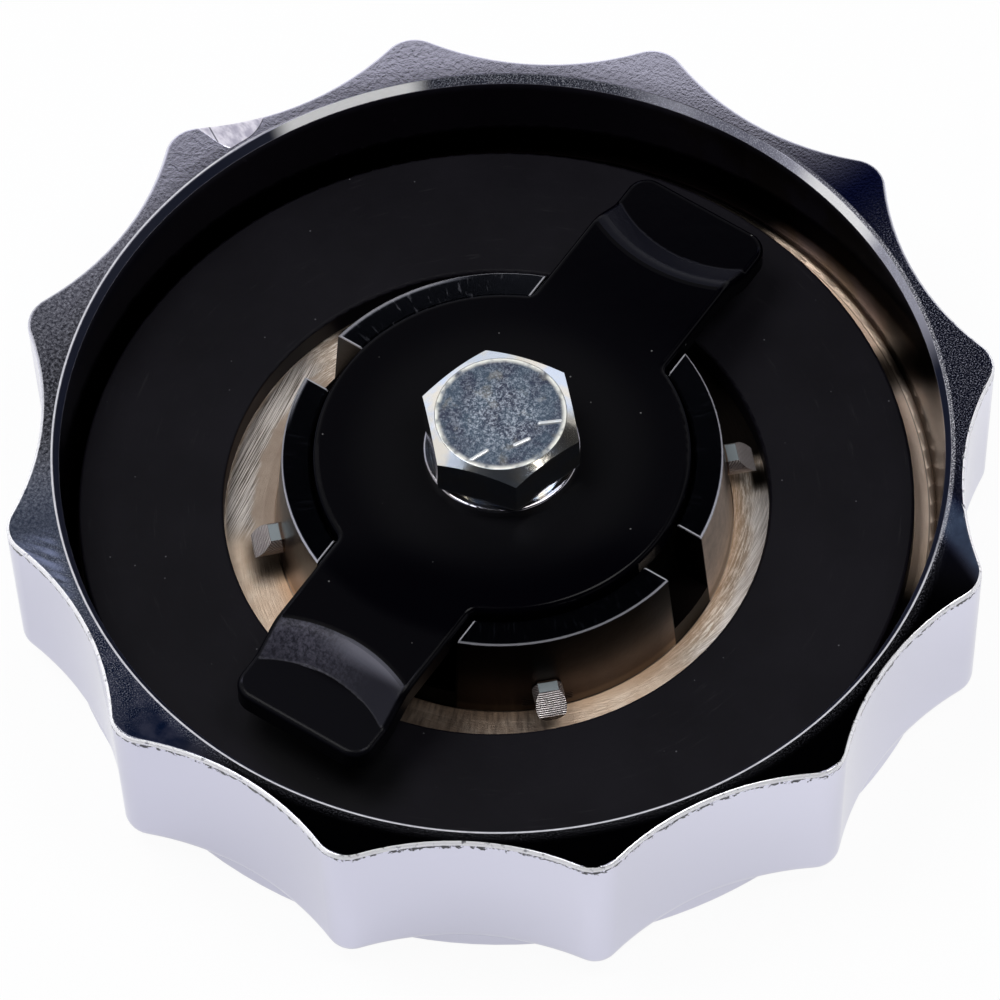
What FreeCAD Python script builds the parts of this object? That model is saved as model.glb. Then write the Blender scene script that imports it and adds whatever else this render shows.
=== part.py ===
import FreeCAD, Part
import math
import os

# Fuel filler cap, seen as it lies on its outer face with the latch side up.
# Millimetres. The origin is the centre of the crown face that it rests on, +Z is up,
# and the two arms of the latch bar point along +X and -X.

# Grip and crown
LOBES = 12
TIP_RADIUS = 50.0
FLUTE_DEPTH = 3.9
TIP_ROUNDING = 3.5
RIM_HEIGHT = 22.0
CROWN_INSET = 1.1
CROWN_RISE = 1.5
CROWN_SHOULDER = 1.1
SKIRT_FOOT_ROUNDING = 2.2
SKIRT_DRAFT_ANGLE = 2.5
RIM_EDGE_ROUNDING = 0.4

# Recess and gasket seat
RIM_LAND = 1.4
RIM_CHAMFER_WIDTH = 0.6
RIM_CHAMFER_DEPTH = 0.95
RECESS_DRAFT = 0.9
SEAT_DEPTH = 13.0
SEAT_FILLET = 0.65

# Castellated boss ring
RING_TO_TIP_RATIO = 0.44
RING_DRAFT = 0.9
RING_WALL = 2.8
RING_DROP = 2.0
RING_EDGE = 0.2
ARM_SLOT_CLEARANCE = 0.5
LOCK_SLOT_WIDTH = 5.9
SLOT_DEPTH = 8.5

# Pocket, centre boss and its tapped hole
CROWN_WALL = 4.0
POCKET_FILLET = 1.5
BOSS_RADIUS = 9.0
BOSS_DRAFT = 0.5
BOSS_FILLET = 1.5
HOLE_FLOOR = 2.1
BOLT_HOLE_SPARE = 1.2
DRILL_POINT_ANGLE = 118.0

# Stubs round the ring
STUB_COUNT = 4
STUB_DIAMETER = 3.1
STUB_DROP = 9.75
STUB_REACH = 3.5
STUB_FLAT_LENGTH = 1.8
STUB_FLAT_CUT = 0.35

# Gasket
GASKET_OUTER_GAP = 1.4
GASKET_STUB_GAP = 1.8
GASKET_THICKNESS = 3.1
GASKET_EDGE = 0.3
GASKET_SHIFT = 0.75
GASKET_SHIFT_ANGLE = 126.0

# Latch bar
BAR_THICKNESS = 2.5
BAR_DROP = 0.86
DISC_CLEARANCE = 0.4
BAR_EDGE_ROUNDING = 0.6
ARM_WIDTH = 15.8
ARM_END_GAP = 6.6
ARM_CORNER = 2.2
ARM_ROOT_FILLET = 1.0
PAD_DROP = 2.15
PAD_LENGTH = 6.6
PAD_CREASE_RADIUS = 13.2
PAD_CREASE_FILLET = 0.5
RAMP_RUN = 3.1
RAMP_BEND = 3.0
RAMP_UNDER_BEND = 1.5

# Washer and bolt
WASHER_RADIUS = 7.85
WASHER_THICKNESS = 1.05
WASHER_EDGE = 0.3
BOLT_DIAMETER = 9.5
BOLT_CHAMFER = 1.0
HEAD_ACROSS_FLATS = 14.3
HEAD_HEIGHT = 5.8
HEAD_FACE_INSET = 0.55
HEAD_CHAMFER_ANGLE = 30.0
BEARING_FACE_INSET = 0.3
BEARING_FACE_HEIGHT = 0.55
HEAD_TURN = -15.5
WASHER_HOLE_CLEARANCE = 0.25
BAR_HOLE_CLEARANCE = 0.2
THREAD_CLEARANCE = 0.1

# Levels and radii that follow from the sizes above
VALLEY_RADIUS = TIP_RADIUS - FLUTE_DEPTH
CROWN_RADIUS = VALLEY_RADIUS - CROWN_INSET
SKIRT_BOTTOM = CROWN_RISE
CHAMFER_RADIUS = VALLEY_RADIUS - RIM_LAND
RECESS_TOP_RADIUS = CHAMFER_RADIUS - RIM_CHAMFER_WIDTH
SEAT_LEVEL = RIM_HEIGHT - SEAT_DEPTH
SEAT_RADIUS = RECESS_TOP_RADIUS - RECESS_DRAFT
RING_TOP_RADIUS = RING_TO_TIP_RATIO * TIP_RADIUS
RING_BORE_RADIUS = RING_TOP_RADIUS - RING_WALL
RING_LEVEL = RIM_HEIGHT - RING_DROP
RING_FOOT_RADIUS = RING_TOP_RADIUS + RING_DRAFT
SILL_LEVEL = RING_LEVEL - SLOT_DEPTH
BAR_TOP = RIM_HEIGHT - BAR_DROP
BAR_UNDERSIDE = BAR_TOP - BAR_THICKNESS
DISC_RADIUS = RING_BORE_RADIUS - DISC_CLEARANCE
ARM_REACH = SEAT_RADIUS - ARM_END_GAP
PAD_CREASE_REACH = ARM_REACH - PAD_LENGTH
WASHER_TOP = BAR_TOP + WASHER_THICKNESS
HEAD_TOP = WASHER_TOP + HEAD_HEIGHT
HOLE_RADIUS = BOLT_DIAMETER / 2 + THREAD_CLEARANCE
HOLE_POINT = HOLE_RADIUS / math.tan(math.radians(DRILL_POINT_ANGLE / 2))
BOLT_TIP = HOLE_FLOOR + HOLE_POINT + BOLT_HOLE_SPARE
GASKET_OUTER_RADIUS = SEAT_RADIUS - GASKET_OUTER_GAP
GASKET_INNER_RADIUS = RING_TOP_RADIUS + STUB_REACH + GASKET_STUB_GAP
OVERLAP = 0.5

UP = FreeCAD.Vector(0, 0, 1)
CENTRE = FreeCAD.Vector(0, 0, 0)


def polar(radius, degrees, z=0.0):
    """Point at a radius and an angle about the cap's axis."""
    angle = math.radians(degrees)
    return FreeCAD.Vector(radius * math.cos(angle), radius * math.sin(angle), z)


def turned(profile, x=0.0):
    """Solid of revolution about the vertical line at x, from (radius, z) corners."""
    corners = [FreeCAD.Vector(x + radius, 0, z) for radius, z in profile]
    face = Part.Face(Part.makePolygon(corners + corners[:1]))
    return face.revolve(FreeCAD.Vector(x, 0, 0), UP, 360)


def disc(radius, low, high, x=0.0):
    """Round bar from one level to another."""
    return Part.makeCylinder(radius, high - low, FreeCAD.Vector(x, 0, low), UP)


def circle_edges(solid, radius, z):
    """Round edges of one radius that lie at one level."""
    return [
        edge
        for edge in solid.Edges
        if isinstance(edge.Curve, Part.Circle)
        and abs(edge.Curve.Radius - radius) < 1e-4
        and abs(edge.BoundBox.ZMin - z) < 1e-4
        and abs(edge.BoundBox.ZMax - z) < 1e-4
    ]


def level_edges(solid, z):
    """Every edge that lies at one level."""
    return [
        edge
        for edge in solid.Edges
        if abs(edge.BoundBox.ZMin - z) < 1e-5 and abs(edge.BoundBox.ZMax - z) < 1e-5
    ]


def upright_edges(solid, radius, tolerance):
    """Vertical edges whose distance from the axis is near one radius."""
    found = []
    for edge in solid.Edges:
        box = edge.BoundBox
        start = edge.Vertexes[0].Point
        if box.XLength < 1e-5 and box.YLength < 1e-5:
            if abs(math.hypot(start.x, start.y) - radius) < tolerance:
                found.append(edge)
    return found


def upper_rim_edges(solid, clear):
    """Edges between an upright face and one that looks up, away from the axis."""
    found = []
    for edge in solid.Edges:
        faces = solid.ancestorsOfType(edge, Part.Face)
        middle = edge.valueAt((edge.FirstParameter + edge.LastParameter) / 2)
        if len(faces) == 2 and math.hypot(middle.x, middle.y) > clear:
            rises = [face.normalAt(*face.Surface.parameter(middle)).z for face in faces]
            if min(abs(rise) for rise in rises) < 1e-4 and max(rises) > 0.1:
                found.append(edge)
    return found


def fluted_outline(z):
    """Twelve rounded tips joined by hollow flutes, every arc tangent to the next.

    The wall leans in below the rim, so the outline is set in by the draft at its level.
    """
    inset = (RIM_HEIGHT - z) * math.tan(math.radians(SKIRT_DRAFT_ANGLE))
    half_pitch = 180.0 / LOBES
    tip_centre = TIP_RADIUS - TIP_ROUNDING
    across = tip_centre * math.cos(math.radians(half_pitch))
    flute_radius = (
        VALLEY_RADIUS**2 + tip_centre**2 - 2 * VALLEY_RADIUS * across - TIP_ROUNDING**2
    ) / (2 * (across + TIP_ROUNDING - VALLEY_RADIUS))
    share = (flute_radius + inset) / (flute_radius + TIP_ROUNDING)
    edges = []
    for lobe in range(LOBES):
        valley_angle = 2 * half_pitch * lobe
        tip_angle = valley_angle + half_pitch
        next_valley = valley_angle + 2 * half_pitch
        tip = polar(tip_centre, tip_angle, z)
        flute = polar(VALLEY_RADIUS + flute_radius, valley_angle, z)
        next_flute = polar(VALLEY_RADIUS + flute_radius, next_valley, z)
        joint = flute + (tip - flute) * share
        next_joint = next_flute + (tip - next_flute) * share
        last_tip = polar(tip_centre, valley_angle - half_pitch, z)
        last_joint = flute + (last_tip - flute) * share
        valley = polar(VALLEY_RADIUS - inset, valley_angle, z)
        crest = polar(TIP_RADIUS - inset, tip_angle, z)
        edges.append(Part.Arc(last_joint, valley, joint).toShape())
        edges.append(Part.Arc(joint, crest, next_joint).toShape())
    return Part.Wire(edges)


def grip_blank():
    """Fluted skirt with the round crown disc under it."""
    skirt = Part.makeLoft([fluted_outline(SKIRT_BOTTOM), fluted_outline(RIM_HEIGHT)], True, True)
    skirt = skirt.makeFillet(SKIRT_FOOT_ROUNDING, level_edges(skirt, SKIRT_BOTTOM))
    skirt = skirt.makeFillet(RIM_EDGE_ROUNDING, level_edges(skirt, RIM_HEIGHT))
    inner = VALLEY_RADIUS - SKIRT_FOOT_ROUNDING - OVERLAP
    crown = turned([
        (0, 0),
        (CROWN_RADIUS, 0),
        (CROWN_RADIUS, SKIRT_BOTTOM + SKIRT_FOOT_ROUNDING),
        (inner, SKIRT_BOTTOM + SKIRT_FOOT_ROUNDING + OVERLAP),
        (0, SKIRT_BOTTOM + SKIRT_FOOT_ROUNDING + OVERLAP),
    ])
    crown = crown.makeFillet(CROWN_SHOULDER, circle_edges(crown, CROWN_RADIUS, 0))
    return skirt.fuse(crown)


def recess():
    """Round space of the recess, with its drafted wall and the chamfer at the rim."""
    return turned([
        (0, SEAT_LEVEL),
        (SEAT_RADIUS, SEAT_LEVEL),
        (RECESS_TOP_RADIUS, RIM_HEIGHT - RIM_CHAMFER_DEPTH),
        (CHAMFER_RADIUS, RIM_HEIGHT),
        (CHAMFER_RADIUS, RIM_HEIGHT + OVERLAP),
        (0, RIM_HEIGHT + OVERLAP),
    ])


def boss_ring():
    """Drafted ring that stands on the seat, with its upper edges just broken."""
    return turned([
        (RING_BORE_RADIUS, SEAT_LEVEL - OVERLAP),
        (RING_FOOT_RADIUS, SEAT_LEVEL - OVERLAP),
        (RING_FOOT_RADIUS, SEAT_LEVEL),
        (RING_TOP_RADIUS, RING_LEVEL - RING_EDGE),
        (RING_TOP_RADIUS - RING_EDGE, RING_LEVEL),
        (RING_BORE_RADIUS + RING_EDGE, RING_LEVEL),
        (RING_BORE_RADIUS, RING_LEVEL - RING_EDGE),
    ])


def ring_slots():
    """Two wide slots for the arms along X and two narrow ones along Y."""
    reach = RING_FOOT_RADIUS + OVERLAP
    start = (BOSS_RADIUS + BOSS_DRAFT + RING_BORE_RADIUS) / 2
    height = RING_LEVEL + OVERLAP - SILL_LEVEL
    arm_slot = ARM_WIDTH + 2 * ARM_SLOT_CLEARANCE
    boxes = []
    for side in (1, -1):
        x = start if side > 0 else -reach
        corner = FreeCAD.Vector(x, -arm_slot / 2, SILL_LEVEL)
        boxes.append(Part.makeBox(reach - start, arm_slot, height, corner))
        corner = FreeCAD.Vector(-LOCK_SLOT_WIDTH / 2, x, SILL_LEVEL)
        boxes.append(Part.makeBox(LOCK_SLOT_WIDTH, reach - start, height, corner))
    return boxes


def stub():
    """Short cast peg along +X with a flat on top and a sheared, sloping end."""
    root = RING_TOP_RADIUS - OVERLAP
    tip = RING_TOP_RADIUS + STUB_REACH
    axis_level = RIM_HEIGHT - STUB_DROP
    radius = STUB_DIAMETER / 2
    flat_level = axis_level + radius - STUB_FLAT_CUT
    flat_end = RING_TOP_RADIUS + STUB_FLAT_LENGTH
    rod = Part.makeCylinder(
        radius, tip - root, FreeCAD.Vector(root, 0, axis_level), FreeCAD.Vector(1, 0, 0)
    )
    side = [
        FreeCAD.Vector(root, -STUB_DIAMETER, axis_level - radius),
        FreeCAD.Vector(root, -STUB_DIAMETER, flat_level),
        FreeCAD.Vector(flat_end, -STUB_DIAMETER, flat_level),
        FreeCAD.Vector(tip, -STUB_DIAMETER, axis_level - radius / 2),
        FreeCAD.Vector(tip, -STUB_DIAMETER, axis_level - radius),
    ]
    envelope = Part.Face(Part.makePolygon(side + side[:1]))
    return rod.common(envelope.extrude(FreeCAD.Vector(0, 2 * STUB_DIAMETER, 0)))


def centre_boss():
    """Drafted boss that carries the bar, standing on the pocket floor."""
    return turned([
        (0, CROWN_WALL - OVERLAP),
        (BOSS_RADIUS + BOSS_DRAFT, CROWN_WALL - OVERLAP),
        (BOSS_RADIUS + BOSS_DRAFT, CROWN_WALL),
        (BOSS_RADIUS, BAR_UNDERSIDE),
        (0, BAR_UNDERSIDE),
    ])


def bolt_hole():
    """Blind hole for the bolt, with the cone that a drill leaves."""
    return turned([
        (0, HOLE_FLOOR),
        (HOLE_RADIUS, HOLE_FLOOR + HOLE_POINT),
        (HOLE_RADIUS, BAR_UNDERSIDE + OVERLAP),
        (0, BAR_UNDERSIDE + OVERLAP),
    ])


def cap_casting():
    """The one die casting: grip, crown, recess, seat, ring, boss and stubs."""
    body = grip_blank().cut(recess())
    body = body.makeFillet(SEAT_FILLET, circle_edges(body, SEAT_RADIUS, SEAT_LEVEL))
    body = body.fuse(boss_ring())
    pocket = disc(RING_BORE_RADIUS, CROWN_WALL, RING_LEVEL + OVERLAP)
    pocket = pocket.makeFillet(POCKET_FILLET, circle_edges(pocket, RING_BORE_RADIUS, CROWN_WALL))
    body = body.cut(pocket).fuse(centre_boss())
    boss_foot = circle_edges(body, BOSS_RADIUS + BOSS_DRAFT, CROWN_WALL)
    body = body.makeFillet(BOSS_FILLET, boss_foot)
    for box in ring_slots():
        body = body.cut(box)
    for number in range(STUB_COUNT):
        peg = stub()
        peg.rotate(CENTRE, UP, 360.0 / STUB_COUNT * (number + 0.5))
        body = body.fuse(peg)
    return body.cut(bolt_hole()).removeSplitter()


def gasket():
    """Flat rubber ring that lies a little off centre on its seat."""
    low = SEAT_LEVEL
    high = SEAT_LEVEL + GASKET_THICKNESS
    ring = turned([
        (GASKET_INNER_RADIUS, low),
        (GASKET_OUTER_RADIUS, low),
        (GASKET_OUTER_RADIUS, high),
        (GASKET_INNER_RADIUS, high),
    ])
    rims = []
    for radius in (GASKET_INNER_RADIUS, GASKET_OUTER_RADIUS):
        for level in (low, high):
            rims += circle_edges(ring, radius, level)
    ring = ring.makeFillet(GASKET_EDGE, rims)
    ring.translate(polar(GASKET_SHIFT, GASKET_SHIFT_ANGLE))
    return ring


def bar_outline(low, high):
    """Upright prism of the bar's outline: a disc with two square-ended arms."""
    arms = Part.makeBox(
        2 * ARM_REACH, ARM_WIDTH, high - low, FreeCAD.Vector(-ARM_REACH, -ARM_WIDTH / 2, low)
    )
    tips = upright_edges(arms, math.hypot(ARM_REACH, ARM_WIDTH / 2), 0.01)
    arms = arms.makeFillet(ARM_CORNER, tips)
    prism = arms.fuse(disc(DISC_RADIUS, low, high)).removeSplitter()
    roots = upright_edges(prism, DISC_RADIUS, 0.01)
    corners = []
    for edge in roots:
        if abs(abs(edge.Vertexes[0].Point.y) - ARM_WIDTH / 2) < 0.01:
            corners.append(edge)
    return prism.makeFillet(ARM_ROOT_FILLET, corners)


def pad_sheet(join_radius):
    """Round pressed sheet: a flat pad, a conical ramp and the bend up to the bar."""
    slope = math.atan2(PAD_DROP, RAMP_RUN)
    shift = BAR_THICKNESS * math.tan(slope / 2)
    pad_top = BAR_TOP - PAD_DROP
    ramp_top = PAD_CREASE_RADIUS + RAMP_RUN
    sheet = turned([
        (0, pad_top),
        (PAD_CREASE_RADIUS, pad_top),
        (ramp_top, BAR_TOP),
        (join_radius, BAR_TOP),
        (join_radius, BAR_UNDERSIDE),
        (ramp_top + shift, BAR_UNDERSIDE),
        (PAD_CREASE_RADIUS + shift, pad_top - BAR_THICKNESS),
        (0, pad_top - BAR_THICKNESS),
    ])
    sheet = sheet.makeFillet(RAMP_BEND, circle_edges(sheet, ramp_top, BAR_TOP))
    crease = circle_edges(sheet, PAD_CREASE_RADIUS, pad_top)
    sheet = sheet.makeFillet(PAD_CREASE_FILLET, crease)
    under = circle_edges(sheet, PAD_CREASE_RADIUS + shift, pad_top - BAR_THICKNESS)
    return sheet.makeFillet(RAMP_UNDER_BEND, under)


def latch_bar():
    """Pressed steel bar: its two arm ends are set down to flat pads by round ramps."""
    pad_centre = PAD_CREASE_REACH + PAD_CREASE_RADIUS
    slope = math.atan2(PAD_DROP, RAMP_RUN)
    bend = (BAR_THICKNESS + RAMP_BEND) * math.tan(slope / 2)
    join_radius = PAD_CREASE_RADIUS + RAMP_RUN + bend
    bar = bar_outline(BAR_UNDERSIDE, BAR_TOP)
    envelope = bar_outline(BAR_UNDERSIDE - PAD_DROP - OVERLAP, BAR_TOP + OVERLAP)
    for side in (1, -1):
        x = side * pad_centre
        bar = bar.cut(disc(join_radius, BAR_UNDERSIDE - OVERLAP, BAR_TOP + OVERLAP, x))
        sheet = pad_sheet(join_radius)
        sheet.translate(FreeCAD.Vector(x, 0, 0))
        bar = bar.fuse(sheet.common(envelope))
    bar = bar.removeSplitter()
    bar = bar.makeFillet(BAR_EDGE_ROUNDING, upper_rim_edges(bar, ARM_WIDTH / 2))
    hole_radius = BOLT_DIAMETER / 2 + BAR_HOLE_CLEARANCE
    bar = bar.cut(disc(hole_radius, BAR_UNDERSIDE - OVERLAP, BAR_TOP + OVERLAP))
    return bar


def washer():
    """Thin plain washer between the bolt head and the bar."""
    bore = BOLT_DIAMETER / 2 + WASHER_HOLE_CLEARANCE
    ring = turned([
        (bore, BAR_TOP),
        (WASHER_RADIUS, BAR_TOP),
        (WASHER_RADIUS, WASHER_TOP),
        (bore, WASHER_TOP),
    ])
    return ring.makeFillet(WASHER_EDGE, circle_edges(ring, WASHER_RADIUS, WASHER_TOP))


def hex_bolt():
    """Hexagon bolt: chamfered head on a round bearing face, plain shank, chamfered tip."""
    half_width = HEAD_ACROSS_FLATS / 2
    corner_radius = half_width / math.cos(math.radians(30))
    hex_level = WASHER_TOP + BEARING_FACE_HEIGHT
    corners = [polar(corner_radius, HEAD_TURN + 60 * k, hex_level) for k in range(6)]
    hexagon = Part.Face(Part.makePolygon(corners + corners[:1]))
    head = hexagon.extrude(UP * (HEAD_TOP - hex_level))
    face_radius = half_width - HEAD_FACE_INSET
    envelope_radius = corner_radius + OVERLAP
    fall = (envelope_radius - face_radius) * math.tan(math.radians(HEAD_CHAMFER_ANGLE))
    head = head.common(turned([
        (0, hex_level),
        (envelope_radius, hex_level),
        (envelope_radius, HEAD_TOP - fall),
        (face_radius, HEAD_TOP),
        (0, HEAD_TOP),
    ]))
    shank_radius = BOLT_DIAMETER / 2
    bearing_radius = half_width - BEARING_FACE_INSET
    shank = turned([
        (0, BOLT_TIP),
        (shank_radius - BOLT_CHAMFER, BOLT_TIP),
        (shank_radius, BOLT_TIP + BOLT_CHAMFER),
        (shank_radius, WASHER_TOP),
        (bearing_radius, WASHER_TOP),
        (bearing_radius, hex_level + OVERLAP),
        (0, hex_level + OVERLAP),
    ])
    return head.fuse(shank).removeSplitter()


PIECES = {
    "cap_casting": cap_casting,
    "gasket": gasket,
    "latch_bar": latch_bar,
    "washer": washer,
    "hex_bolt": hex_bolt,
}

os.makedirs("parts", exist_ok=True)
for name, make in PIECES.items():
    shape = make()
    print(name, "valid", shape.isValid(), "solids", len(shape.Solids))
    shape.exportStep("parts/" + name + ".step")
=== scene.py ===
import math

import bpy
import numpy as np
from mathutils import Matrix, Vector


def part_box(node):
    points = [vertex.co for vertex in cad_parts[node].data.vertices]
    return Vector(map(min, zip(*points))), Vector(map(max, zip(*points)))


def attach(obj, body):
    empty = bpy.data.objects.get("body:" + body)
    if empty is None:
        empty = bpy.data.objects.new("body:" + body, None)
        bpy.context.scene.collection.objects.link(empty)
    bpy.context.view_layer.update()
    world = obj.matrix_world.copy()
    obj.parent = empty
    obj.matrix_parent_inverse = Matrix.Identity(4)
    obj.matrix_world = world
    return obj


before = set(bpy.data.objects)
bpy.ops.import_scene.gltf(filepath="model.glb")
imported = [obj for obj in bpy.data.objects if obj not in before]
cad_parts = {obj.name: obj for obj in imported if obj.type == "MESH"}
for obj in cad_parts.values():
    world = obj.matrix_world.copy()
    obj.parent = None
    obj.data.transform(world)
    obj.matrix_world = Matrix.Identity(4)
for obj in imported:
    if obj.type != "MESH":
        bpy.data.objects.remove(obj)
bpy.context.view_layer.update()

# The photograph's camera. The photograph's frame lies on the rim plane, and the part's frame is
# turned against it by LATCH_TURN, so that the latch bar lies along X.
RIM_HEIGHT = 0.022
CAMERA_FOCUS_PX = 14238.42
CAMERA_ELEVATION = math.radians(57.687)
CAMERA_ROLL = math.radians(2.034)
CAMERA_SHIFT = (0.000180, 0.005340)
CAMERA_DISTANCE = 1.41498
LATCH_TURN = math.radians(54.256)
SENSOR = 36.0
PHOTO_WIDTH_PX = 1000.0

MM = 1000.0
BLACK = (0.0, 0.0, 0.0)
WHITE = (1.0, 1.0, 1.0)

# Direction of the streaks across the rim in degrees, and the seat's arc in millimetres a degree
STREAK_DIRECTION = 100.0
SEAT_ARC = 0.436


class Value:
    """A socket of a shader tree that takes part in Python sums and products."""

    def __init__(self, tree, socket):
        self.tree = tree
        self.socket = socket

    def math(self, operation, *others):
        """Math node on this value and the others."""
        return self.tree.add("ShaderNodeMath", {"operation": operation}, (self,) + others)

    def __add__(self, other):
        return self.math("ADD", other)

    def __sub__(self, other):
        return self.math("SUBTRACT", other)

    def __mul__(self, other):
        return self.math("MULTIPLY", other)

    def __truediv__(self, other):
        return self.math("DIVIDE", other)

    def __rsub__(self, other):
        return self.tree.add("ShaderNodeMath", {"operation": "SUBTRACT"}, (other, self))

    __radd__ = __add__
    __rmul__ = __mul__

    def size(self):
        """Absolute value."""
        return self.math("ABSOLUTE")

    def least(self, other):
        return self.math("MINIMUM", other)

    def most(self, other):
        return self.math("MAXIMUM", other)

    def rise(self, low, high):
        """0 below low, 1 above high, and a smooth step between."""
        settings = {"interpolation_type": "SMOOTHSTEP"}
        return self.tree.add("ShaderNodeMapRange", settings, {0: self, 1: low, 2: high})

    def fall(self, low, high):
        """1 below low, 0 above high."""
        return 1.0 - self.rise(low, high)

    def band(self, low, high, soft):
        """1 between low and high, with soft ends."""
        return self.rise(low - soft, low + soft) * self.fall(high - soft, high + soft)


class Tree:
    """A node tree that is filled in by expressions."""

    def __init__(self, nodes_owner):
        nodes_owner.use_nodes = True
        self.tree = nodes_owner.node_tree
        self.tree.nodes.clear()

    def add(self, kind, settings=None, sockets=(), out=0):
        """Adds a node: settings first, then its sockets, by number or name."""
        node = self.tree.nodes.new(kind)
        for name, value in (settings or {}).items():
            setattr(node, name, value)
        pairs = sockets.items() if isinstance(sockets, dict) else enumerate(sockets)
        for key, value in pairs:
            socket = node.inputs[key]
            if isinstance(value, Value):
                self.tree.links.new(value.socket, socket)
            elif socket.type == "RGBA" and len(value) == 3:
                socket.default_value = tuple(value) + (1.0,)
            else:
                socket.default_value = value
        return Value(self, node.outputs[out]) if node.outputs else None

    def vector(self, x, y, z):
        return self.add("ShaderNodeCombineXYZ", None, (x, y, z))

    def mix(self, share, first, second):
        """Colour that goes from the first to the second as share goes from 0 to 1."""
        return self.add("ShaderNodeMix", {"data_type": "RGBA"}, {0: share, 6: first, 7: second}, 2)

    def coats(self, colour, *coats):
        """Lays coats over a colour in turn, each given as a share and a colour."""
        for share, coat in coats:
            colour = self.mix(share, colour, coat)
        return colour

    def noise(self, place, scale, detail=2.0, roughness=0.5, distortion=0.0):
        """Cloud noise, 0 to 1, with a mean near 0.5."""
        sockets = {
            "Vector": place, "Scale": scale,
            "Detail": detail, "Roughness": roughness, "Distortion": distortion,
        }
        return self.add("ShaderNodeTexNoise", None, sockets)

    def cells(self, place, scale):
        """Distance to the nearest of many scattered points."""
        return self.add("ShaderNodeTexVoronoi", None, {"Vector": place, "Scale": scale})

    def bump(self, height, strength, distance):
        sockets = {"Height": height, "Strength": strength, "Distance": distance}
        return self.add("ShaderNodeBump", None, sockets)

    def surface(self, **sockets):
        """Principled surface with sockets named with underscores for spaces."""
        named = {key.replace("_", " "): value for key, value in sockets.items()}
        shader = self.add("ShaderNodeBsdfPrincipled", None, named)
        self.add("ShaderNodeOutputMaterial", None, {"Surface": shader})


class Places:
    """Where a point of the surface is, in millimetres, about the cap's axis."""

    def __init__(self, tree):
        point = tree.add("ShaderNodeTexCoord", None, (), "Object")
        self.point = tree.add("ShaderNodeVectorMath", {"operation": "SCALE"}, {0: point, 3: MM})
        self.x = tree.add("ShaderNodeSeparateXYZ", None, (self.point,), 0)
        self.y = tree.add("ShaderNodeSeparateXYZ", None, (self.point,), 1)
        self.z = tree.add("ShaderNodeSeparateXYZ", None, (self.point,), 2)
        self.radius = (self.x * self.x + self.y * self.y).math("SQRT")
        self.angle = self.y.math("ARCTAN2", self.x) * (180.0 / math.pi)
        normal = tree.add("ShaderNodeNewGeometry", None, (), "True Normal")
        self.upward = tree.add("ShaderNodeSeparateXYZ", None, (normal,), 2)
        self.tree = tree

    def round(self, along, across):
        """Seam-free coordinates: low along the circle, high across it for rings."""
        x = self.x / self.radius * along
        y = self.y / self.radius * along
        return self.tree.vector(x, y, self.radius * across + self.z * across)

    def toward(self, middle):
        """Cosine of the angle between the point's own direction and one in degrees."""
        turn = math.radians(middle)
        return (self.x * math.cos(turn) + self.y * math.sin(turn)) / self.radius

    def sector(self, start, end, soft):
        """1 between two angles in degrees, counted anticlockwise, with soft sides."""
        half = (end - start) / 2.0
        outer = math.cos(math.radians(min(half + soft, 180.0)))
        inner = math.cos(math.radians(max(half - soft, 0.0)))
        return self.toward(start + half).rise(outer, inner)

    def slanted_streaks(self):
        """Soft streaks that cross the rim at a slant."""
        turn = math.radians(STREAK_DIRECTION)
        along = self.x * math.cos(turn) + self.y * math.sin(turn)
        across = self.y * math.cos(turn) - self.x * math.sin(turn)
        place = self.tree.vector(along * 0.25, across * 1.6, 0.0)
        return self.tree.noise(place, 1.0, 2.0).rise(0.30, 0.70)

    def slanted(self, along, across, slant):
        """Unrolled coordinates for tool marks that run at a slant to the circle."""
        arc = self.angle * SEAT_ARC
        return self.tree.vector(arc * along, (self.radius - arc * slant) * across, self.z * across)


def new_material(name):
    material = bpy.data.materials.new(name)
    return material, Tree(material)


# Directions in which the photograph's far and right sides lie, in degrees
FAR_SIDE = 35.7
RIGHT_SIDE = 305.7

# Soft steps from one surface of the casting to the next, in millimetres: levels, then radii
CROWN_LEVEL = (2.0, 3.0)
SEAT_LEVEL = (9.2, 9.6)
RING_WALL_LEVEL = (19.7, 19.8)
RING_TOP_LEVEL = (19.7, 19.85)
RECESS_LEVEL = (20.95, 21.1)
CHAMFER_LEVEL = (20.9, 21.1)
RIM_LEVEL = (21.2, 21.4)
EDGE_LEVEL = (21.5, 21.62)
RING_BORE_RADIUS = (21.6, 21.9)
RING_TOP_EDGE = (22.05, 22.2)
RING_FOOT_RADIUS = (22.95, 23.05)
RING_WALL_RADIUS = (24.0, 24.3)
LEDGE_RADIUS = (27.6, 28.0)
STRIP_RADIUS = (38.0, 39.0)
RECESS_RADIUS = (44.0, 44.15)
RIM_RADIUS = (44.62, 44.72)
EDGE_RADIUS = (45.4, 45.7)

# Nick in the rim: its sides in degrees and its inner radius in millimetres
NICK_LEFT = 68.8
NICK_RIGHT = 71.0
NICK_RADIUS = 45.05


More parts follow.
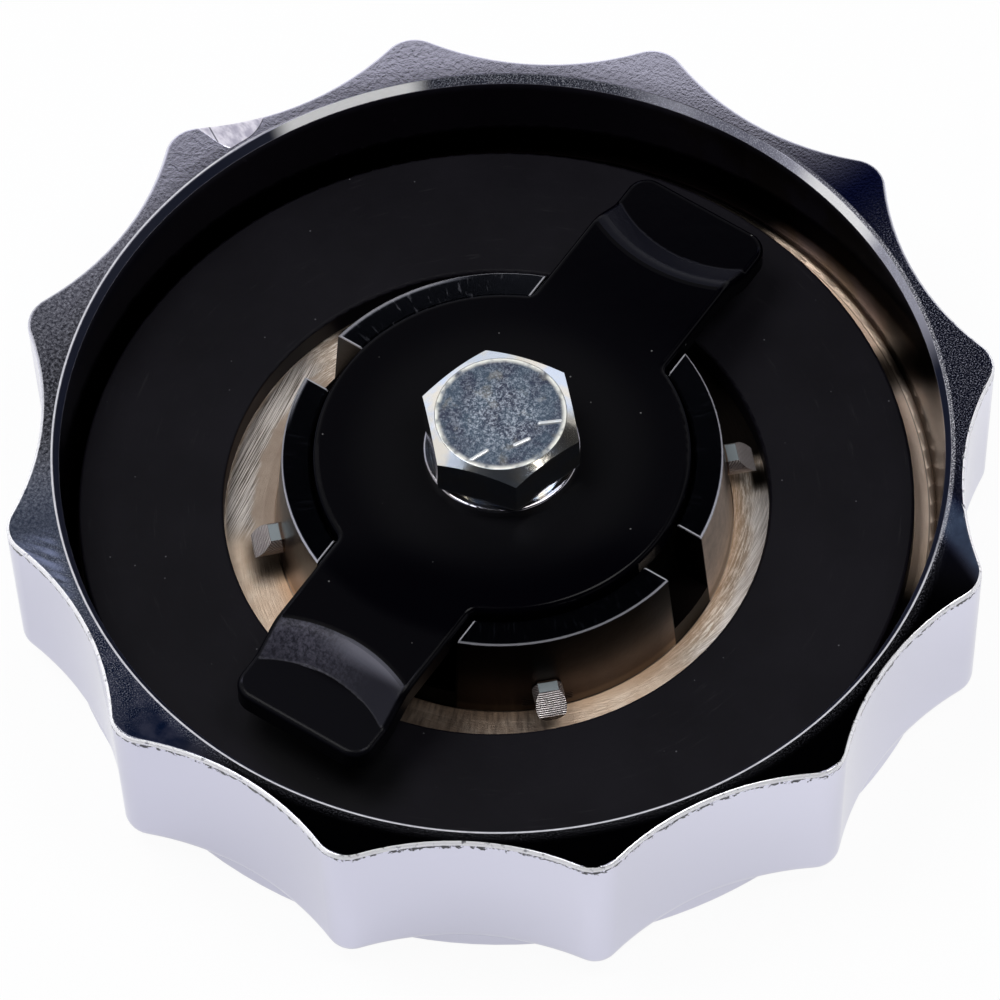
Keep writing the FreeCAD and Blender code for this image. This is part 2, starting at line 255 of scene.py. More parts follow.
class CastingFaces:
    """Masks of the casting's surfaces: 1 on each, 0 elsewhere."""

    def __init__(self, at):
        above_crown = at.z.rise(*CROWN_LEVEL)
        self.flat = at.upward.rise(0.6, 0.9)
        self.rim = at.z.rise(*RIM_LEVEL) * at.radius.rise(*RIM_RADIUS)
        self.chamfer = at.z.rise(*CHAMFER_LEVEL) * at.radius.band(44.08, 44.66, 0.04)
        self.recess = at.radius.fall(*RECESS_RADIUS) * at.z.fall(*RECESS_LEVEL) * above_crown
        self.seat = at.z.fall(*SEAT_LEVEL) * at.radius.rise(*RING_FOOT_RADIUS) * self.recess
        self.ring_top = at.z.rise(*RING_TOP_LEVEL) * at.radius.fall(*RING_TOP_EDGE)
        self.ring_wall = (
            at.radius.fall(*RING_WALL_RADIUS) * at.z.fall(*RING_WALL_LEVEL) * above_crown
        )
        in_slot = at.y.size().fall(8.5, 8.7).most(at.x.size().fall(3.0, 3.1))
        self.slots = in_slot * self.ring_wall * at.radius.fall(22.9, 23.0)
        self.inside = at.radius.fall(*RING_BORE_RADIUS) * at.z.fall(*RING_WALL_LEVEL) * above_crown
        diagonal = (at.x * at.y).size() / (at.radius * at.radius) * 2.0
        self.stub = at.radius.band(22.75, 27.0, 0.04) * at.z.band(9.7, 14.2, 0.1)
        self.stub = self.stub * diagonal.rise(0.972, 0.978)


class RimMarks:
    """Finish, wear and painted reflections of the rim: leathery far side painted pale, navy left,
    black and dusted near side.
    """

    def __init__(self, tree, at, face):
        self.tree = tree
        self.at = at
        # Painted reflection: brighter towards the far side and the outer edge, darker towards the
        # recess
        self.painted_reflection = at.toward(FAR_SIDE).rise(0.15, 0.95) * 0.9 + 0.1
        self.painted_reflection = self.painted_reflection * (0.65 + at.radius.rise(44.7, 46.8) * 0.35)
        self.cloud = tree.noise(at.point, 0.5, 3.0, 0.6)
        self.mottle = tree.noise(at.point, 3.0, 4.0, 0.8).rise(0.30, 0.78)
        salt = tree.noise(at.point, 6.5, 2.0, 0.9).rise(0.50, 0.64)
        inner_edge = at.radius.fall(44.95, 46.2)
        dusty = (at.sector(300.0, 335.0, 10.0) * 0.55).most(at.sector(138.0, 162.0, 6.0) * 0.35)
        dusty = dusty.most(inner_edge * at.sector(162.0, 300.0, 8.0) * 0.35)
        mottled = self.mottle * at.sector(84.0, 128.0, 9.0) * 0.55
        self.grains = (salt * dusty).most(mottled) * face.rim * face.flat
        # Painted reflections: clouded navy on the left, near-black navy on the right
        self.navy = at.sector(126.0, 174.0, 6.0) * face.rim * face.flat
        self.painted_dark_reflection = at.sector(288.0, 352.0, 8.0) * face.rim * face.flat
        fan = at.sector(137.5, 145.0, 2.5) * at.radius.rise(44.8, 46.4) * at.slanted_streaks()
        self.fan = fan * face.rim * face.flat
        gleam = (at.angle + at.radius - 46.0).band(-71.0, -65.5, 1.6)
        self.gleam = gleam * (0.4 + self.cloud * 1.0) * face.rim * face.flat

        # Painted highlight along the recess, broken into grains on the right
        line = at.radius.band(44.70, 44.88, 0.04) * at.sector(66.0, 290.0, 10.0)
        broken = at.radius.fall(44.98, 45.15) * at.sector(288.0, 350.0, 10.0)
        self.line = line.most(broken * (0.25 + salt * 0.75)) * at.z.rise(21.9, 21.96)

        # Painted highlight along the outer edge, patchy on the near side, and a ragged black band
        # under it
        self.patchy = tree.noise(at.point, 1.1, 3.0, 0.6)
        edge = at.z.rise(*EDGE_LEVEL) * at.radius.rise(*EDGE_RADIUS) * at.upward.fall(0.93, 0.97)
        near = at.sector(120.0, 325.0, 12.0) * self.patchy.rise(0.30, 0.45) * 0.65
        self.edge = edge * (0.35 + near)
        ragged = tree.noise(at.point, 1.3, 4.0, 0.75)
        under = (at.z + ragged.rise(0.40, 0.70) * 0.7).band(21.45, 22.1, 0.06)
        under = under * at.upward.fall(0.75, 0.92)
        under = under * at.radius.rise(*EDGE_RADIUS) * at.z.fall(*EDGE_LEVEL)
        self.under = under * at.sector(120.0, 335.0, 6.0) * ragged.rise(0.44, 0.52)

        # Crescent nick where the plating is rubbed through, cracked at one end
        left_of = (at.angle - NICK_LEFT).least(0.0)
        right_of = (at.angle - NICK_RIGHT).most(0.0)
        nick_edge = left_of * left_of * 0.10 + right_of * right_of * 1.5 + NICK_RADIUS
        self.rubbed = (at.radius - nick_edge).rise(0.0, 0.2) * at.sector(64.6, 72.8, 0.3) * face.rim
        self.brush = tree.noise(at.round(50.0, 0.5), 1.0, 3.0, 0.6)
        self.crack = (at.angle + at.radius * 0.25 - 83.6).size().fall(0.05, 0.12) * self.rubbed

    def ground(self):
        """Painted reflection on the rim face: pale lavender towards the far side and outer edge,
        black elsewhere.
        """
        return self.tree.mix(self.painted_reflection, BLACK, (0.73, 0.72, 0.90))

    def navy_colour(self):
        """Painted navy reflection, clouded, mottled with grey towards the far side."""
        clouds = self.cloud.rise(0.35, 0.70)
        blue = self.tree.mix(clouds, (0.004, 0.009, 0.030), (0.030, 0.034, 0.062))
        grey = self.tree.mix(self.mottle, (0.020, 0.028, 0.052), (0.110, 0.125, 0.170))
        return self.tree.mix(self.at.sector(122.0, 148.0, 5.0), blue, grey)

    def wear(self):
        """Shares and colours of what lies over every other finish."""
        mix = self.tree.mix
        recess_highlight_colour = mix(self.patchy, (0.40, 0.40, 0.44), (0.85, 0.85, 0.90))
        bare = mix(self.brush.rise(0.35, 0.65), (0.42, 0.40, 0.50), (0.78, 0.75, 0.84))
        return (
            (self.grains, (0.50, 0.51, 0.58)),
            (self.fan * 0.75, (0.20, 0.23, 0.36)),
            (self.gleam * 0.8, (0.045, 0.065, 0.105)),
            (self.line, recess_highlight_colour),
            (self.under, (0.02, 0.02, 0.03)),
            (self.edge, (0.95, 0.95, 0.98)),
            (self.rubbed, bare),
            (self.crack, (0.12, 0.12, 0.16)),
        )

    def relief(self, face):
        """Height of the leathery wrinkles, finer on the right."""
        wrinkle = self.tree.noise(self.at.point, 2.2, 4.0, 0.62, 0.4)
        fine = self.tree.noise(self.at.point, 3.6, 3.0, 0.6)
        right = self.at.sector(285.0, 375.0, 12.0)
        height = wrinkle * (1.0 - right) + fine * right * 0.6
        return height * (0.10 + self.painted_reflection * 0.26) * face.rim * face.flat


def bevel_finish(tree, at):
    """Colour of the recess's chamfer, painted as a reflection pale to the far right, and where it
    has painted white highlights.
    """
    pale_speckle = tree.noise(at.point, 7.0, 3.0, 0.8).rise(0.48, 0.64)
    # Painted white highlights on two arcs of the chamfer
    white = at.sector(-22.0, -10.0, 3.0).most(at.sector(45.0, 64.0, 2.0))
    # Painted reflection: pale to the far right, dark elsewhere
    bevel = tree.mix(at.sector(-40.0, 15.0, 5.0), (0.006, 0.009, 0.026), (0.38, 0.38, 0.46))
    bevel = tree.coats(
        bevel,
        (at.sector(-4.0, 6.0, 4.0) * 0.7, (0.10, 0.10, 0.15)),
        (pale_speckle * at.sector(-35.0, 44.0, 4.0) * 0.65, (0.80, 0.82, 0.92)),
        (white, WHITE),
    )
    return bevel, white


def dark_blot(at):
    """Stain that runs over the seat's outer strip and the recess wall."""
    return at.sector(-35.0, -29.5, 2.0)


def seat_finish(tree, at):
    """Machined seat: its colour, tool marks, outer strip and painted shadows."""
    marks = tree.noise(at.slanted(0.45, 5.0, 0.10), 1.0, 5.0, 0.75)
    cross = tree.noise(at.slanted(0.6, 4.0, -0.25), 1.0, 3.0, 0.7)
    blotch = tree.noise(at.point, 0.28, 3.0, 0.6)
    radial = tree.noise(at.round(45.0, 0.4), 1.0, 3.0, 0.6)
    worked = at.sector(262.0, 320.0, 14.0).most(at.sector(70.0, 124.0, 6.0))
    scored = marks.rise(0.43, 0.60).most(cross.rise(0.60, 0.68) * 0.7)
    foot = at.radius.fall(23.0, 24.6) * (1.0 - at.sector(100.0, 120.0, 6.0))
    shaded = at.sector(188.0, 224.5, 1.5) * (0.6 + radial * 0.5)
    smudge = at.sector(297.0, 309.0, 4.0) * at.radius.rise(24.8, 26.2) * marks.fall(0.5, 0.62)
    bronze = tree.mix(blotch.rise(0.35, 0.7), (0.72, 0.54, 0.40), (0.92, 0.76, 0.61))
    bronze = tree.coats(
        bronze,
        (worked * scored, (0.98, 0.90, 0.82)),
        (worked * (1.0 - scored) * 0.75, (0.30, 0.22, 0.16)),
        (foot * 0.5, (0.82, 0.52, 0.30)),
        (shaded, (0.032, 0.019, 0.014)),
        (smudge, (0.05, 0.045, 0.04)),
    )

    # Ledge beside the ring: dull and scrubbed straight on the left, silvery on the right
    ledge = at.radius.fall(*LEDGE_RADIUS)
    along = at.x * 0.12 + at.y * 0.02
    across = at.y * 8.0 - at.x * 1.3
    straight = tree.noise(tree.vector(along, across, 0.0), 1.0, 4.0, 0.7).rise(0.38, 0.60)
    dense = tree.noise(at.slanted(0.22, 9.0, 0.30), 1.0, 4.0, 0.7).rise(0.40, 0.62)
    dull = ledge * at.sector(82.0, 129.0, 4.0)
    scrubbed = ledge * at.sector(80.0, 127.0, 4.0) * (at.radius + blotch * 2.0).rise(26.0, 26.7)
    silver = ledge * at.sector(264.0, 309.0, 6.0) * (at.radius + blotch * 2.0).rise(25.4, 26.4)
    # Painted shadows on the ledge: beside the left stub, by the stub at 315 degrees, and over the
    # far side from 318 to 72 degrees
    left_stub_shadow = at.sector(130.5, 141.0, 3.0) * at.radius.fall(25.0, 27.2) * 0.9
    seat_shadow = at.sector(-42.0, 72.0, 2.0).most(left_stub_shadow)
    seat_shadow = seat_shadow.most(at.sector(311.0, 316.0, 2.0) * at.radius.rise(24.6, 25.4)) * ledge
    bronze = tree.coats(
        bronze,
        (dull, tree.mix(blotch, (0.26, 0.19, 0.15), (0.50, 0.41, 0.33))),
        (scrubbed, tree.mix(straight, (0.10, 0.08, 0.06), (0.74, 0.68, 0.64))),
        (silver * 0.85, tree.mix(dense, (0.55, 0.49, 0.45), (1.0, 0.95, 0.92))),
        (seat_shadow, (0.009, 0.007, 0.006)),
    )

    # Strip outside the gasket, lit on the right only
    outer = at.radius.rise(*STRIP_RADIUS)
    lit = at.sector(294.0, 352.0, 5.0) * (1.0 - at.sector(323.0, 328.5, 1.5) * 0.8)
    corner = at.radius.band(42.5, 42.62, 0.03)
    strip = tree.mix(marks, (0.50, 0.36, 0.26), (0.86, 0.70, 0.56))
    strip = tree.mix(lit, (0.006, 0.005, 0.004), strip)
    strip = tree.coats(
        strip,
        (at.sector(300.0, 324.0, 4.0) * 0.7, (0.97, 0.80, 0.68)),
        (corner * 0.6, (0.03, 0.02, 0.02)),
        (dark_blot(at) * 0.9, (0.006, 0.004, 0.003)),
    )
    return tree.mix(outer, bronze, strip), marks, outer, seat_shadow


def recess_colour(tree, at):
    """Smoky thin plating of the recess wall, with olive and copper bands to the right."""
    smoke = tree.noise(at.round(7.0, 0.12), 1.0, 3.0, 0.55)
    copper = at.sector(278.0, 330.0, 14.0)
    olive = at.sector(325.0, 368.0, 10.0)
    return tree.coats(
        tree.mix(copper, (0.13, 0.11, 0.14), (0.095, 0.048, 0.026)),
        (olive * smoke.rise(0.40, 0.60) * 0.8, (0.085, 0.058, 0.032)),
        (copper * smoke.rise(0.50, 0.62) * 0.85, (0.018, 0.010, 0.006)),
        (at.z.rise(18.0, 20.5) * at.sector(85.0, 205.0, 10.0) * 0.8, (0.04, 0.05, 0.13)),
        (at.z.rise(12.5, 16.0) * at.sector(283.0, 326.0, 6.0) * 0.6, (0.015, 0.012, 0.014)),
        (dark_blot(at) * at.z.fall(14.0, 17.0), (0.008, 0.005, 0.004)),
    )


def ring_side_colour(tree, at, face, cast, tan):
    """Brown cast wall of the boss ring: tan to the right, black towards its top and inside."""
    # Painted shadow of the left stub on the foot of the wall
    left_stub_shadow = at.sector(130.5, 142.0, 2.0) * at.z.fall(11.0, 13.0) * 0.9
    return tree.coats(
        tree.mix(cast, (0.15, 0.11, 0.09), (0.24, 0.17, 0.13)),
        (tan * (0.35 + cast * 0.9), (0.78, 0.64, 0.54)),
        (at.z.rise(12.5, 17.0) * (1.0 - tan) * 0.9, (0.012, 0.010, 0.010)),
        (at.z.fall(9.7, 10.3), (0.42, 0.33, 0.26)),
        (at.sector(190.0, 262.0, 6.0) * 0.8, (0.020, 0.012, 0.009)),
        (left_stub_shadow, (0.03, 0.016, 0.010)),
        (face.inside, (0.035, 0.026, 0.022)),
        (face.slots, (0.004, 0.003, 0.003)),
    )


def ring_lip_highlights(at, face):
    """Painted highlights on the edges of the boss ring's top, along its rim and its slots."""
    arm_gap = at.y.size().band(8.36, 8.54, 0.04) * at.x.size().rise(14.0, 15.0)
    lock_gap = at.x.size().band(2.92, 3.10, 0.04) * at.y.size().rise(14.0, 15.0)
    lip_highlight = at.radius.rise(21.78, 21.88).most(arm_gap).most(lock_gap)
    far_lip_highlight = at.radius.rise(21.40, 21.75) * at.sector(48.0, 108.0, 8.0) * 0.8
    return lip_highlight.most(far_lip_highlight) * face.ring_top


def bright_chrome():
    """Chrome over the casting: smooth sides, wrinkled rim, turned seat, polished ring."""
    material, tree = new_material("bright_chrome")
    at = Places(tree)
    face = CastingFaces(at)
    rim = RimMarks(tree, at, face)
    bevel, white = bevel_finish(tree, at)
    seat_colour, marks, outer, seat_shadow = seat_finish(tree, at)
    cast = tree.noise(at.point, 0.7, 4.0, 0.65)
    tan = at.sector(268.0, 301.0, 7.0)
    scuff = tree.noise(at.round(55.0, 0.6), 1.0, 2.0, 0.6).rise(0.58, 0.68)
    scuff = scuff * (0.05 + at.sector(35.0, 75.0, 8.0) * 0.30)
    # Painted highlights along the ring top's edges
    lip_highlight = ring_lip_highlights(at, face)

    # Stubs: polished flat on top, ribbed by the tool on the sides, and darkened low down with
    # painted shade
    rib = (at.radius * 19.0 - at.z * 21.0 + cast * 4.0).math("SINE") * 0.5 + 0.5
    tip = face.stub * at.upward.fall(0.90, 0.96)
    peg = tree.coats(
        tree.mix(tip, (0.30, 0.34, 0.36), (0.34, 0.29, 0.28)),
        (tip * rib * 0.8, (0.66, 0.62, 0.62)),
        (at.z.fall(11.2, 11.7), (0.05, 0.035, 0.03)),
    )

    # Chrome base paler towards the right side: painted light where less light falls
    toward_right = at.toward(RIGHT_SIDE).rise(-1.0, 1.0)
    colour = tree.coats(
        tree.mix(toward_right, (0.615, 0.615, 0.735), (0.74, 0.74, 0.86)),
        (face.rim * face.flat, rim.ground()),
        (rim.painted_dark_reflection, (0.003, 0.006, 0.045)),
        (rim.navy, rim.navy_colour()),
        (face.chamfer, bevel),
        (face.recess, recess_colour(tree, at)),
        (face.ring_wall, ring_side_colour(tree, at, face, cast, tan)),
        (face.seat, seat_colour),
        (face.ring_top, tree.mix(scuff, (0.12, 0.13, 0.17), (0.55, 0.55, 0.60))),
        (lip_highlight, (0.42, 0.42, 0.46)),
        (face.stub, peg),
        *rim.wear(),
    )

    matt = rim.painted_dark_reflection * 0.12 + rim.grains * 0.9 + rim.navy * 0.7 + rim.fan * 0.3 + rim.gleam * 0.8
    matt = matt + rim.line + rim.edge * 0.8 + rim.rubbed * 0.85
    matt = matt + face.chamfer * (0.75 + white * 0.25) + lip_highlight * 0.5 + rim.under * 0.5
    matt = matt + scuff * face.ring_top * 0.3
    metallic = 1.0 - matt - face.seat * (1.0 - outer) * (1.0 - seat_shadow) * 0.35
    metallic = (metallic - face.ring_wall * tan * (1.0 - face.slots) * 0.5).most(0.0)

    rough = 0.05 + face.rim * 0.03 + rim.grains * 0.4 + face.seat * 0.32 + face.ring_wall * 0.22
    rough = rough + tan * face.ring_wall * 0.2
    rough = rough + face.stub * 0.2 + rim.rubbed * 0.3 + lip_highlight * 0.25 + face.recess * 0.04
    rough = rough + face.chamfer * 0.3

    relief = rim.relief(face) + marks * face.seat * 0.9 + cast * face.ring_wall * 0.35
    relief = relief + rib * tip * 1.2
    relief = relief + tree.noise(at.point, 0.06, 1.0) * 2.0 + rim.brush * rim.rubbed
    normal = tree.bump(relief, 0.6, 0.0001)
    tree.surface(Base_Color=colour, Metallic=metallic, Roughness=rough, Normal=normal)
    return material


def black_rubber():
    """Matt black rubber with dust specks, a painted shadow by the left pad, and painted brown light
    reflected from the seat on the inner wall.
    """
    material, tree = new_material("black_rubber")
    at = Places(tree)
    specks = tree.cells(at.point, 0.40).fall(0.02, 0.045)
    cloud = tree.noise(at.point, 0.07, 4.0, 0.6)
    hairs = tree.noise(at.round(6.0, 2.4), 1.0, 4.0, 0.7).rise(0.60, 0.72)
    # Inner wall, painted brown on its left, with streaks, as light reflected from the seat
    wall = at.radius.fall(28.0, 28.4) * at.upward.size().fall(0.3, 0.6)
    streak = tree.noise(at.round(40.0, 0.2), 1.0, 3.0)
    left = at.sector(95.0, 185.0, 15.0)
    # Painted shadow of the left pad on the gasket
    left_pad_shadow = (at.x + 34.5) * (at.x + 34.5) / 30.0 + (at.y + 2.0) * (at.y + 2.0) / 90.0
    colour = tree.coats(
        tree.mix(cloud.rise(0.3, 0.7), (0.0026, 0.0022, 0.0042), (0.0050, 0.0044, 0.0072)),
        (hairs * 0.5, (0.014, 0.0135, 0.016)),
        (specks * 0.35, (0.22, 0.22, 0.24)),
        (left_pad_shadow.fall(0.35, 1.3) * 0.8, (0.0004, 0.0004, 0.0006)),
        (wall * left, tree.mix(streak, (0.010, 0.005, 0.003), (0.044, 0.022, 0.012))),
    )
    normal = tree.bump(tree.noise(at.point, 2.5, 3.0), 0.25, 0.00005)
    tree.surface(Base_Color=colour, Roughness=0.55, Specular_IOR_Level=0.10, Normal=normal)
    return material


def satin_black():
    """Satin black coat on the pressed bar, drawn into fine wrinkles on the ramps."""
    material, tree = new_material("satin_black")
    at = Places(tree)
    ramp = at.upward.band(0.78, 0.985, 0.01) * at.radius.rise(24.0, 26.0)
    ramp = ramp * at.x.size().fall(35.2, 35.6) * at.y.size().fall(7.2, 7.5)
    specks = tree.cells(at.point, 0.3).fall(0.02, 0.04)

    # The arm on the left gets a painted reflection: a ramp grey and mottled like leather, with a
    # painted highlight along the bend and darker towards the pad, and a slightly paler pad
    left_arm = at.x.fall(-12.0, 4.0)
    pad = (1.0 - ramp) * left_arm * at.radius.rise(30.0, 31.0) * 0.5
    leather = tree.noise(at.point, 2.4, 4.0, 0.7).rise(0.30, 0.72) * at.y.rise(-5.0, 5.0)
    sheen = at.x.band(-28.0, -25.9, 0.8) * at.y.fall(-1.0, 4.0)
    left_ramp_reflection = tree.coats(
        tree.mix(leather, (0.012, 0.012, 0.018), (0.075, 0.073, 0.098)),
        (at.x.fall(-31.5, -28.5) * 0.5, (0.014, 0.014, 0.020)),
        (sheen * 0.8, (0.115, 0.115, 0.145)),
    )
    # Ramps painted a little paler and bluer than the flat coat: painted reflection
    colour = tree.coats(
        tree.mix(ramp, (0.0005, 0.0004, 0.0013), (0.0050, 0.0052, 0.0090)),
        (specks * 0.35, (0.3, 0.3, 0.3)),
        (ramp * left_arm, left_ramp_reflection),
        (pad, (0.0045, 0.0045, 0.0065)),
    )

    # Sleeker on the near side of the disc and on the other arm, duller round the washer
    sleek = (at.x * -0.81 - at.y * 0.58).rise(8.0, 15.0) * at.radius.fall(21.0, 23.0)
    sleek = sleek.most(at.x.rise(12.0, 24.0))
    rough = 0.30 + ramp * 0.05 + at.radius.fall(11.0, 17.0) * 0.18 - sleek * 0.13
    wrinkle = tree.noise(at.point, 1.5, 5.0, 0.68, 0.6)
    orange_peel = tree.noise(at.point, 0.5, 2.0)
    relief = wrinkle * ramp * (0.25 + at.y.rise(-3.0, 6.0)) + wrinkle * 0.05 + orange_peel * 0.25
    normal = tree.bump(relief, 0.5, 0.00006)
    tree.surface(Base_Color=colour, Roughness=rough, Specular_IOR_Level=0.07, Normal=normal)
    return material


def bright_zinc():
    """Zinc plate on bolt and washer: slate flats, a blue-black end face with pale speckles."""
    material, tree = new_material("bright_zinc")
    at = Places(tree)
    tint = tree.noise(at.point, 0.42, 2.0)

    # End face: speckled in the middle, stained in places, worn pale along its edge
    face = at.z.rise(27.9, 27.96) * at.radius.fall(6.45, 6.6)
    grain = tree.noise(at.point, 2.8, 6.0, 0.95)
    speck = grain.rise(0.47, 0.60) * (0.35 + at.radius.fall(2.0, 5.6) * 0.55)
    stain = tree.noise(at.point, 0.50, 3.0).rise(0.55, 0.70)
    patchy = at.radius.rise(5.9, 6.5) * tree.noise(at.point, 0.8, 2.0).rise(0.25, 0.55)
    end = tree.coats(
        tree.mix(tint.rise(0.40, 0.60), (0.016, 0.024, 0.055), (0.040, 0.066, 0.105)),
        (stain * 0.5, (0.20, 0.18, 0.14)),
        (speck, (0.55, 0.61, 0.70)),
        (patchy, (0.90, 0.90, 0.84)),
    )

    # Painted dark reflection of the black bar on the washer's side
    washer_side_reflection = at.z.fall(22.25, 22.35) * at.radius.rise(7.1, 7.25)
    flats = at.upward.size().fall(0.1, 0.3) * at.z.rise(22.8, 23.0) * at.z.fall(27.2, 27.6)
    colour = tree.coats(
        tree.mix(tint.rise(0.35, 0.65), (0.70, 0.78, 0.90), (0.86, 0.82, 0.72)),
        (washer_side_reflection * 0.8, (0.24, 0.22, 0.25)),
        (flats * 0.75, (0.13, 0.145, 0.18)),
        (face, end),
    )
    metallic = 0.975 - face * 0.50
    rough = 0.13 + face * 0.22
    relief = grain * face + tree.noise(at.point, 0.8, 2.0) * 0.5
    normal = tree.bump(relief, 0.5, 0.00008)
    tree.surface(Base_Color=colour, Metallic=metallic, Roughness=rough, Normal=normal)
    return material


def mark_zinc():
    """Pale rubbed zinc on the raised bars of the bolt's end face."""
    material, tree = new_material("mark_zinc")
    at = Places(tree)
    rubbed = tree.noise(at.point, 2.0, 3.0)
    colour = tree.mix(rubbed, (0.55, 0.60, 0.66), (0.88, 0.88, 0.86))
    normal = tree.bump(rubbed, 0.4, 0.00005)
    tree.surface(Base_Color=colour, Metallic=0.6, Roughness=0.3, Normal=normal)
    return material


# Raised bars on the bolt's end face: centre, direction in degrees and length, millimetres
TICK_BARS = ((-5.2, -0.95, -21.0, 2.3), (1.85, -4.65, -49.0, 2.5), (-1.6, -3.62, -28.5, 2.0))
TICK_WIDTH = 0.50
TICK_HEIGHT = 0.16
TICK_SINK = 0.05
TICK_POINTS_ROUND = 40
TICK_RINGS = 6


def tick_bars(face_level):
    """Bars with rounded ends and a domed top.

    Each is a grid of points, ring by ring: a ring is a stadium round the bar's middle line,
    its half width follows the cosine of the rise and its height the sine, from just under
    the face to the top of the dome.
    """
    around = np.linspace(0.0, 2.0 * np.pi, TICK_POINTS_ROUND, endpoint=False)
    rise = np.linspace(0.0, 0.5 * np.pi, TICK_RINGS)
    corners, faces = [], []
    for x, y, degrees, length in TICK_BARS:
        reach = (length - TICK_WIDTH) / 2.0 * np.sign(np.cos(around))
        size = np.cos(rise)[:, None] * TICK_WIDTH / 2.0
        along = reach[None, :] + size * np.cos(around)[None, :]
        across = size * np.sin(around)[None, :]
        height = np.sin(rise)[:, None] * (TICK_HEIGHT + TICK_SINK) - TICK_SINK + 0.0 * along
        turn = np.radians(degrees)
        east = x + along * np.cos(turn) - across * np.sin(turn)
        north = y + along * np.sin(turn) + across * np.cos(turn)
        points = np.stack((east, north, face_level * MM + height), axis=-1) / MM
        first = len(corners) * around.size * rise.size
        rows, columns = np.meshgrid(
            np.arange(rise.size - 1), np.arange(around.size), indexing="ij"
        )
        onward = (columns + 1) % around.size
        quads = np.stack(
            (rows * around.size + columns, rows * around.size + onward,
             (rows + 1) * around.size + onward, (rows + 1) * around.size + columns), axis=-1
        )
        corners.append(points.reshape(-1, 3))
        faces.append(quads.reshape(-1, 4) + first)
    mesh = bpy.data.meshes.new("head_ticks")
    mesh.from_pydata(np.concatenate(corners).tolist(), [], np.concatenate(faces).tolist())
    mesh.validate()
    for polygon in mesh.polygons:
        polygon.use_smooth = True
    bars = bpy.data.objects.new("head_ticks", mesh)
    bpy.context.scene.collection.objects.link(bars)
    mesh.materials.append(mark_zinc())
    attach(bars, "root")


def place_camera():
    """Pinhole camera fitted to the photograph."""
    back = Vector((0.0, -math.cos(CAMERA_ELEVATION), math.sin(CAMERA_ELEVATION)))
    right = Vector((1.0, 0.0, 0.0))
    up = back.cross(right)
    c, s = math.cos(CAMERA_ROLL), math.sin(CAMERA_ROLL)
    right, up = c * right - s * up, s * right + c * up
    centre = -CAMERA_SHIFT[0] * right - CAMERA_SHIFT[1] * up + CAMERA_DISTANCE * back
    pose = Matrix((right, up, back)).transposed().to_4x4()
    pose.translation = centre
    turn = Matrix.Rotation(-LATCH_TURN, 4, "Z")
    data = bpy.data.cameras.new("camera")
    data.sensor_width = SENSOR
    data.lens = CAMERA_FOCUS_PX * SENSOR / PHOTO_WIDTH_PX
    data.clip_start = 0.05
    data.clip_end = 50.0
    camera = bpy.data.objects.new("camera", data)
    camera.matrix_world = Matrix.Translation((0, 0, RIM_HEIGHT)) @ turn @ pose
    bpy.context.scene.collection.objects.link(camera)
    bpy.context.scene.camera = camera


# Soft panels in the photograph's frame: name, place, target, width, height, radiance, colour
PANELS = (
    ("panel_above", (-0.25, 0.03, 0.66), (0, 0, 0), 0.36, 0.30, 7.0, WHITE),
    ("panel_right", (0.26, -0.06, 0.66), (0.02, 0, 0), 0.26, 0.30, 7.0, WHITE),
    ("panel_behind", (0, 0.470, 0.42), (0, 0.470, 0), 1.2, 0.34, 0.56, WHITE),
    ("panel_side", (-0.17, 0.265, 0.42), (-0.17, 0.265, 0), 0.22, 0.07, 0.10, (0.6, 0.75, 1.0)),
)


def add_panel(name, place, target, width, height, radiance, colour):
    """Panel of one brightness at a place of the photograph's frame, aimed at another."""
    light = bpy.data.lights.new(name, "AREA")
    light.shape = "RECTANGLE"
    light.size, light.size_y = width, height
    light.energy = radiance * math.pi * width * height
    light.color = colour
    lamp = bpy.data.objects.new(name, light)
    aim = (Vector(target) - Vector(place)).to_track_quat("-Z", "Y").to_matrix().to_4x4()
    lamp.matrix_world = Matrix.Rotation(-LATCH_TURN, 4, "Z") @ Matrix.Translation(place) @ aim
    bpy.context.scene.collection.objects.link(lamp)


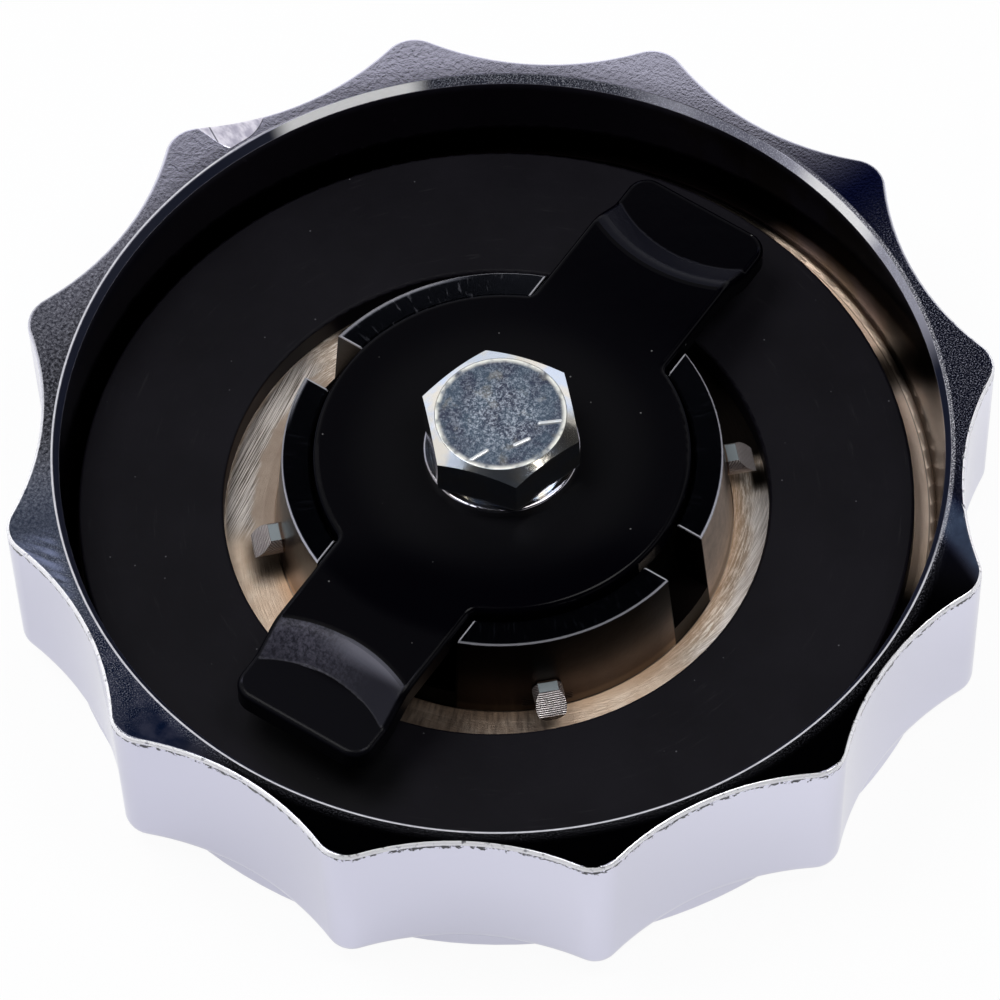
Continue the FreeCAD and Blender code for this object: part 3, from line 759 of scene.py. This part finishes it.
def studio():
    """Room with white walls low down and to the left, a window, a dark ceiling and panels."""
    world = bpy.data.worlds.new("studio")
    bpy.context.scene.world = world
    tree = Tree(world)
    direction = tree.add("ShaderNodeTexCoord", None, (), "Generated")
    turn = {"Vector": direction, "Angle": LATCH_TURN}
    direction = tree.add("ShaderNodeVectorRotate", {"rotation_type": "Z_AXIS"}, turn)
    right = tree.add("ShaderNodeSeparateXYZ", None, (direction,), 0)
    away = tree.add("ShaderNodeSeparateXYZ", None, (direction,), 1)
    height = tree.add("ShaderNodeSeparateXYZ", None, (direction,), 2)
    low = height.fall(0.34, 0.55) * away.rise(-0.45, -0.20)
    left = right.fall(-0.62, -0.42) * height.fall(0.70, 0.85) * away.rise(-0.60, -0.45)
    window = right.band(0.36, 0.80, 0.06) * away.fall(-0.55, -0.45) * height.fall(0.16, 0.24)
    share = low.most(left * 0.9).most(window)
    room = tree.mix(share, (0.0012, 0.0013, 0.0025), (0.95, 0.95, 1.0))
    seen = tree.add("ShaderNodeLightPath", None, (), "Is Camera Ray")
    colour = tree.mix(seen, room, WHITE)
    shader = tree.add("ShaderNodeBackground", None, {"Color": colour, "Strength": 1.0})
    tree.add("ShaderNodeOutputWorld", None, {"Surface": shader})
    for panel in PANELS:
        add_panel(*panel)


# Floor, in metres: just under the crown face, so that the two don't flicker into each other
FLOOR_REACH = 3.0
FLOOR_LEVEL = -0.00002
FLOOR_GLOW_SEEN = 0.95
FLOOR_GLOW_MIRRORED = 0.6


def floor():
    """Plain pale floor that the cap lies on; it renders white but takes the shadow."""
    mesh = bpy.data.meshes.new("floor")
    square = ((-1, -1), (1, -1), (1, 1), (-1, 1))
    corners = [(x * FLOOR_REACH, y * FLOOR_REACH, FLOOR_LEVEL) for x, y in square]
    mesh.from_pydata(corners, [], [(0, 1, 2, 3)])
    plane = bpy.data.objects.new("floor", mesh)
    bpy.context.scene.collection.objects.link(plane)
    material, tree = new_material("pale_floor")
    matt = tree.add("ShaderNodeBsdfDiffuse", None, {"Color": (0.84, 0.84, 0.87)})
    glow = tree.add("ShaderNodeEmission", None, {"Color": WHITE, "Strength": 1.0})
    camera_ray = tree.add("ShaderNodeLightPath", None, (), "Is Camera Ray")
    glossy_ray = tree.add("ShaderNodeLightPath", None, (), "Is Glossy Ray")
    share = camera_ray * FLOOR_GLOW_SEEN + glossy_ray * FLOOR_GLOW_MIRRORED
    shader = tree.add("ShaderNodeMixShader", None, (share, matt, glow))
    tree.add("ShaderNodeOutputMaterial", None, {"Surface": shader})
    mesh.materials.append(material)


def dress(node, material):
    """Gives a node of the frame its finish."""
    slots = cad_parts[node].material_slots
    for slot in slots:
        slot.material = material


place_camera()
studio()
floor()
dress("cap_casting", bright_chrome())
dress("gasket", black_rubber())
dress("latch_bar", satin_black())
tick_bars(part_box("hex_bolt")[1][2])
zinc = bright_zinc()
dress("washer", zinc)
dress("hex_bolt", zinc)

bpy.context.scene.view_settings.view_transform = "Standard"
